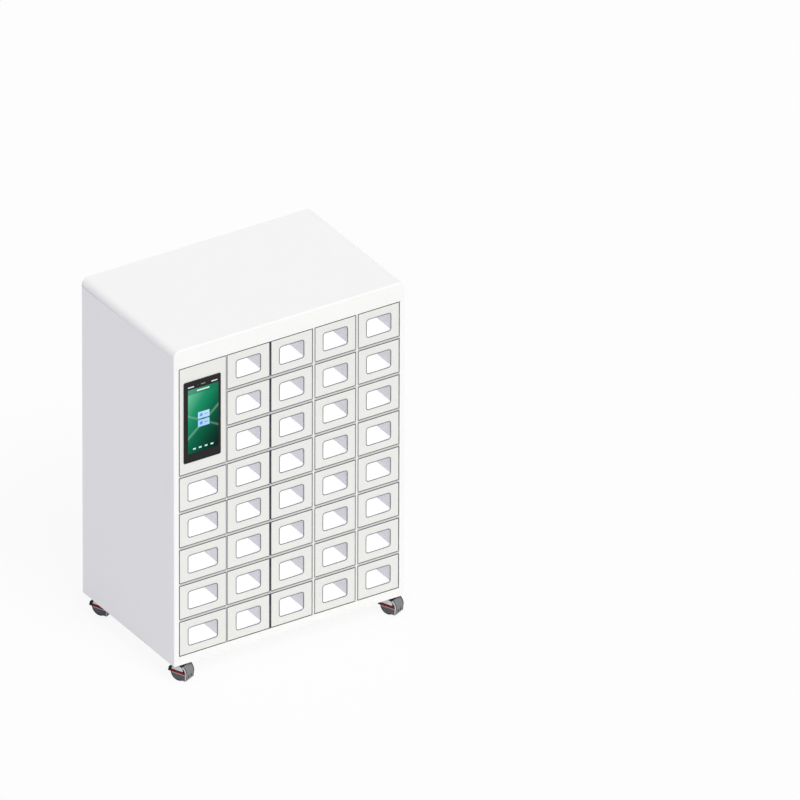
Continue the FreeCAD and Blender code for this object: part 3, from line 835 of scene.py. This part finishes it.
border = printed(
    print_black,
    (patch(0.052, 0.262, 0.018, 0.0022), speaker_grey), (disc(0.040, 0.2632, 0.0032), lens_blue),
    (patch(0.000, 0.259, 0.024, 0.0045), print_white), (patch(0.094, 0.259, 0.024, 0.0045), print_white),
)
display_mask = patch(0.0, 0.0, display_width, display_height)
smears = on_screen("MULTIPLY", noise_node(screen_tree, scale=18.0, detail=3.0), smear_roughness)
page_paint = mix_colour(screen_tree, page_paint_black, page, black)
screen_inputs = shader_of(screen_glass).inputs
for socket, value in (
    ("Base Color", mix_colour(screen_tree, display_mask, border, page_paint)),
    ("Emission Color", mix_colour(screen_tree, display_mask, black, page)),
    ("Roughness", on_screen("ADD", glass_roughness, smears)),
):
    screen_tree.links.new(value, screen_inputs[socket])
screen_inputs["Emission Strength"].default_value = page_glow
screen_inputs["Specular IOR Level"].default_value = 0.05
dress("terminal_glass", screen_glass)

# Power supply and mains inlet.
# A boxed supply on the ceiling sheet, and a black moulded inlet low in the back, whose plate closes its slot.
# The inlet has three plated pins, and two small screws hold its plate.
inlet_x, inlet_y, inlet_z = 0.375, 0.287, 0.1635
pin_places = ((0.0, 0.0045), (-0.0085, -0.0035), (0.0085, -0.0035))
pin_half_width, pin_half_height, pin_length = 0.001, 0.002, 0.011
plate_y, plate_screw_reach, plate_screw_radius, plate_screw_height = 0.3002, 0.0275, 0.0016, 0.0008
dress("power_parts", moulded("inlet_black", (0.020, 0.020, 0.021), roughness=0.5, wear=0.06))
bm = bmesh.new()
for pin_x, pin_z in pin_places:
    add_box(
        bm, (inlet_x + pin_x - pin_half_width, inlet_y, inlet_z + pin_z - pin_half_height),
        (inlet_x + pin_x + pin_half_width, inlet_y + pin_length, inlet_z + pin_z + pin_half_height),
    )
for screw_x in (inlet_x - plate_screw_reach, inlet_x + plate_screw_reach):
    add_screw(bm, (screw_x, plate_y, inlet_z), (0, 1, 0), plate_screw_radius, plate_screw_height)
make_piece("inlet_pins", bm, "cabinet", "steel", zinc)

# Casters.
# Four twin-wheel swivel casters: a plate bolted under the base, a moulded hood on the kingpin with a grey
# shield and a silver cap, a red brake pedal round it, and two wheels with black treads on a common axle.
casters = {
    "caster_front_left": (-0.424, -0.2585), "caster_front_right": (0.424, -0.2585),
    "caster_rear_left": (-0.424, 0.2585), "caster_rear_right": (0.424, 0.2585),
}
heading = math.radians(-65.7)
bolt_reach, bolt_radius, bolt_height = 0.022, 0.0042, 0.0025
plate_thickness = 0.003
# In each caster's own frame the kingpin stands at 0, X points forward, and the wheels' axle lies along Y
trail = 0.0165
wheel_radius = 0.032
wheel_inner = 0.007
hub_edge = 0.0272
wheel_profile = (
    (0.0040, 0.0), (0.0285, 0.0), (0.0310, 0.0010), (wheel_radius, 0.0035), (wheel_radius, 0.0140),
    (0.0310, 0.0165), (0.0285, 0.0173), (0.0275, 0.0173), (0.0268, 0.0160), (0.0150, 0.0155),
    (0.0135, 0.0172), (0.0060, 0.0175), (0.0050, 0.0168), (0.0, 0.0168),
)
axle_radius = 0.0025
hood_radius, hood_half, hood_bottom = 0.0346, 0.0268, 0.031
shell_radius, shell_half, shell_rounding = hood_radius - 0.0010, hood_half - 0.0009, 0.0025
cap_radius, cap_rounding, cap_front, cap_bottom = 0.0305, 0.0045, 0.0205, 0.0425
shield_edge = [(hood_radius - 0.0030, -0.0266), (hood_radius - 0.0008, -0.0258), (hood_radius, -0.0236)]
shield_across = (-0.0198, -0.0150, -0.0110, -0.0040, 0.0, 0.0040, 0.0110, 0.0150, 0.0198)
shield_sweep = math.radians(56.0)
shield_drops = (0.0070, 0.0100, 0.0080)
shield_slant = 0.12
# Painted shade: a band down each side of the shield and two slots in its face are painted black, as shadowed
# openings; the slots are not cut
shade_band_inner, shade_band_outer = 0.0198, 0.0236
slot_inner, slot_outer, slot_low, slot_high = 0.0040, 0.0110, 0.0150, 0.0250
cover_radius, cover_straight, cover_reach = 0.0252, 0.0060, 0.0305
cover_inner, cover_thickness = 0.0250, 0.0014
trim_above, trim_below = 0.0018, 0.0022
trim_rear, trim_front = trail - cover_radius + 0.0006, trail + hood_radius - 0.0040
trim_inner = cover_inner + 0.0008
web_half_length, web_half_width, web_low, web_high = 0.013, 0.006, 0.024, 0.062
boss_low_radius, boss_high_radius, boss_height, boss_middle = 0.0105, 0.0095, 0.0330, 0.0822
arm_inner, arm_outer, arm_low, arm_high = 0.0271, 0.0291, 0.033, 0.040
foot_rear, bar_rear, bar_front, pad_front, arm_end = -0.0286, -0.0216, -0.0196, -0.0130, 0.0465
foot_half, foot_high = 0.0160, arm_high - 0.0008
rib_pitch, rib_half, rib_from_ends, rib_sunk = 0.006, 0.0008, (0.001, 0.0005), 0.0001
wheel_axis = Vector((trail, 0.0, wheel_radius))
on_axle = Matrix.Translation(wheel_axis) @ Matrix.Rotation(math.radians(90), 4, "X")

tread_black = moulded("tread_black", (0.016, 0.016, 0.018), roughness=0.65, wear=0.06, specular=0.20)
hub_grey = moulded("hub_grey", (0.080, 0.086, 0.095), roughness=0.45, wear=0.06, specular=0.25)
hood_dark = moulded("hood_dark", (0.012, 0.012, 0.013), roughness=0.45, wear=0.03, specular=0.15)
hood_silver = moulded("hood_silver", (0.66, 0.68, 0.69), roughness=0.22, wear=0.04)
shield_grey = moulded("shield_grey", (0.19, 0.195, 0.205), roughness=0.45, wear=0.06, specular=0.3)
# Light grey of the hood's trim, which is also painted on the shield's rounded side edges as a highlight
trim_and_highlight_grey = moulded("trim_and_highlight_grey", (0.50, 0.50, 0.49), roughness=0.45, wear=0.05)
pedal_red = moulded("pedal_red", (0.22, 0.002, 0.006), roughness=0.38, wear=0.02, specular=0.2)

dress("caster_plates", zinc)
bm = bmesh.new()
plate_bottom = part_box("caster_plates")[1].z - plate_thickness
for corner_x, corner_y in casters.values():
    for off_x in (-bolt_reach, bolt_reach):
        for off_y in (-bolt_reach, bolt_reach):
            place = (corner_x + off_x, corner_y + off_y, plate_bottom)
            add_screw(bm, place, (0, 0, -1), bolt_radius, bolt_height)
make_piece("caster_bolts", bm, "cabinet", "steel", zinc)


def spun(bm, profile, sweep, steps):
    """Turns a profile (distance from the axle, place along it) about the axle, from straight ahead."""
    verts = [bm.verts.new((trail + reach, along, wheel_radius)) for reach, along in profile]
    edges = [bm.edges.new(pair) for pair in zip(verts, verts[1:])]
    bmesh.ops.spin(
        bm, geom=verts + edges, cent=wheel_axis, axis=(0, -1, 0), dvec=(0, 0, 0), angle=sweep, steps=steps,
        use_merge=sweep > math.radians(359), use_duplicate=False,
    )
    bmesh.ops.remove_doubles(bm, verts=bm.verts[:], dist=1e-6)
    bmesh.ops.recalc_face_normals(bm, faces=bm.faces[:])


def drum(bm, radius, half, rounding):
    """A round drum on the axle with rounded rims."""
    bmesh.ops.create_cone(
        bm, cap_ends=True, segments=64, radius1=radius, radius2=radius, depth=2 * half, matrix=on_axle,
    )
    rims = edges_between(bm, lambda at: at.y > half - hair)
    rims += edges_between(bm, lambda at: at.y < hair - half)
    bend(bm, rims, rounding, steps=4)


def clip_away(bm, point, normal):
    """Takes away what lies on the normal's side of a plane."""
    geometry = bm.verts[:] + bm.edges[:] + bm.faces[:]
    bmesh.ops.bisect_plane(bm, geom=geometry, plane_co=point, plane_no=normal, clear_outer=True)


def join(bm, part):
    """Adds a part made by itself to a mesh."""
    carrier = bpy.data.meshes.new("carrier")
    part.to_mesh(carrier)
    part.free()
    bm.from_mesh(carrier)
    bpy.data.meshes.remove(carrier)


for node_name, (corner_x, corner_y) in casters.items():
    stand = Matrix.Translation((corner_x, corner_y, 0.0)) @ Matrix.Rotation(heading, 4, "Z")
    hood_body, wheels_body, pedal_body = node_name + "_hood", node_name + "_wheels", node_name + "_pedal"

    # Wheels on their axle
    bm = bmesh.new()
    for way in (-1, 1):
        wheel = bmesh.new()
        profile = [(reach, way * (wheel_inner + along)) for reach, along in wheel_profile]
        spun(wheel, profile, 2 * math.pi, steps=64)
        for face in wheel.faces:
            middle = face.calc_center_median() - wheel_axis
            face.material_index = 0 if math.hypot(middle.x, middle.z) > hub_edge else 1
        join(bm, wheel)
    bm.transform(stand)
    wheels = make_piece(wheels_body + "_treads", bm, wheels_body, "wheel_rubber", tread_black, hood_dark)
    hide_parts(wheels_body)
    bm = bmesh.new()
    bmesh.ops.create_cone(
        bm, cap_ends=True, segments=20, radius1=axle_radius, radius2=axle_radius, depth=2 * wheel_inner,
        matrix=on_axle,
    )
    bm.transform(stand)
    make_piece(wheels_body + "_axle", bm, wheels_body, "steel", zinc)

    # Hood, with its cap, front shield, side covers and rim line
    bm = bmesh.new()
    drum(bm, shell_radius, shell_half, shell_rounding)
    clip_away(bm, (0, 0, hood_bottom), (0, 0, -1))
    bm.transform(stand)
    hood = make_piece(hood_body + "_shell", bm, hood_body, "black_plastic", hood_dark, sheet=0.0008)
    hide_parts(hood_body)

    bm = bmesh.new()
    drum(bm, cap_radius, hood_half, cap_rounding)
    clip_away(bm, (trail + cap_front, 0, 0), (1, 0, 0))
    clip_away(bm, (0, 0, cap_bottom), (0, 0, -1))
    bm.transform(stand)
    make_piece(
        hood_body + "_cap", bm, hood_body, "grey_plastic", hood_silver, sheet=0.0010, round_edges=0.0004,
    )

    bm = bmesh.new()
    shield = shield_edge + [(hood_radius, along) for along in shield_across]
    shield += [(reach, -along) for reach, along in reversed(shield_edge)]
    spun(bm, shield, shield_sweep, steps=14)
    for drop in shield_drops:
        lowest = min(vert.co.z for vert in bm.verts)
        hem = edges_between(bm, lambda at: at.z < lowest + hair)
        pull(bm, bmesh.ops.extrude_edge_only(bm, edges=hem), (-shield_slant * drop, 0, -drop))
    bmesh.ops.recalc_face_normals(bm, faces=bm.faces[:])
    # Painted shade: the band and the slots take the black
    for face in bm.faces:
        middle = face.calc_center_median()
        side = abs(middle.y)
        in_painted_slot = slot_inner < side < slot_outer and slot_low < middle.z < slot_high
        if in_painted_slot or shade_band_inner < side < shade_band_outer:
            face.material_index = 2
        # Painted highlight: the shield's rounded side edges take the light grey
        elif side > shade_band_outer:
            face.material_index = 1
    bm.transform(stand)
    make_piece(
        hood_body + "_shield", bm, hood_body, "grey_plastic", shield_grey, trim_and_highlight_grey, hood_dark,
        sheet=0.0012, round_edges=0.0003,
    )

    bm = bmesh.new()
    for way in (-1, 1):
        cover = bmesh.new()
        bmesh.ops.create_circle(cover, cap_ends=True, segments=48, radius=cover_radius, matrix=on_axle)
        clip_away(cover, (0, 0, hood_bottom + trim_above), (0, 0, 1))
        clip_away(cover, (trail + cover_straight, 0, 0), (1, 0, 0))
        front = edges_between(cover, lambda at: at.x > trail + cover_straight - hair)
        pull(cover, bmesh.ops.extrude_edge_only(cover, edges=front), (cover_reach - cover_straight, 0, 0))
        bmesh.ops.translate(cover, verts=cover.verts[:], vec=(0, way * (cover_inner + cover_thickness), 0))
        bmesh.ops.recalc_face_normals(cover, faces=cover.faces[:])
        if way * cover.faces[:][0].normal.y < 0:
            bmesh.ops.reverse_faces(cover, faces=cover.faces[:])
        join(bm, cover)
    bm.transform(stand)
    make_piece(
        hood_body + "_side_covers", bm, hood_body, "grey_plastic", hub_grey,
        sheet=cover_thickness, round_edges=0.0003,
    )

    bm = bmesh.new()
    for way in (-1, 1):
        add_box(
            bm, (trim_rear, way * trim_inner, hood_bottom - trim_below),
            (trim_front, way * hood_half, hood_bottom + trim_above),
        )
    bm.transform(stand)
    make_piece(hood_body + "_trim", bm, hood_body, "grey_plastic", trim_and_highlight_grey, round_edges=0.0005)

    # Web between the wheels, and the boss round the kingpin
    bm = bmesh.new()
    add_box(
        bm, (trail - web_half_length, -web_half_width, web_low),
        (trail + web_half_length, web_half_width, web_high),
    )
    bmesh.ops.create_cone(
        bm, cap_ends=True, segments=32, radius1=boss_low_radius, radius2=boss_high_radius, depth=boss_height,
        matrix=Matrix.Translation((0, 0, boss_middle)),
    )
    bm.transform(stand)
    make_piece(hood_body + "_boss", bm, hood_body, "black_plastic", hood_dark, round_edges=0.0006)

    # Brake pedal: two red arms, and behind them a black rubber bar and a ribbed foot
    bm = bmesh.new()
    for way in (-1, 1):
        add_box(bm, (bar_rear, way * arm_inner, arm_low), (pad_front, way * arm_outer, arm_high))
        add_box(bm, (pad_front, way * arm_inner, arm_low), (arm_end, way * arm_outer, arm_high))
    add_box(bm, (bar_rear, -arm_inner, arm_low), (bar_front, arm_inner, arm_high))
    add_box(bm, (foot_rear, -foot_half, arm_low), (bar_rear, foot_half, foot_high))
    for rib in (-2, -1, 0, 1, 2):
        add_box(
            bm, (foot_rear + rib_from_ends[0], rib_pitch * rib - rib_half, foot_high - rib_sunk),
            (bar_rear - rib_from_ends[1], rib_pitch * rib + rib_half, arm_high),
        )
    for face in bm.faces:
        face.material_index = 1 if face.calc_center_median().x < pad_front - hair else 0
    bm.transform(stand)
    pedal = make_piece(
        pedal_body + "_bar", bm, pedal_body, "red_plastic", pedal_red, tread_black, round_edges=0.0005,
    )
    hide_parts(pedal_body)
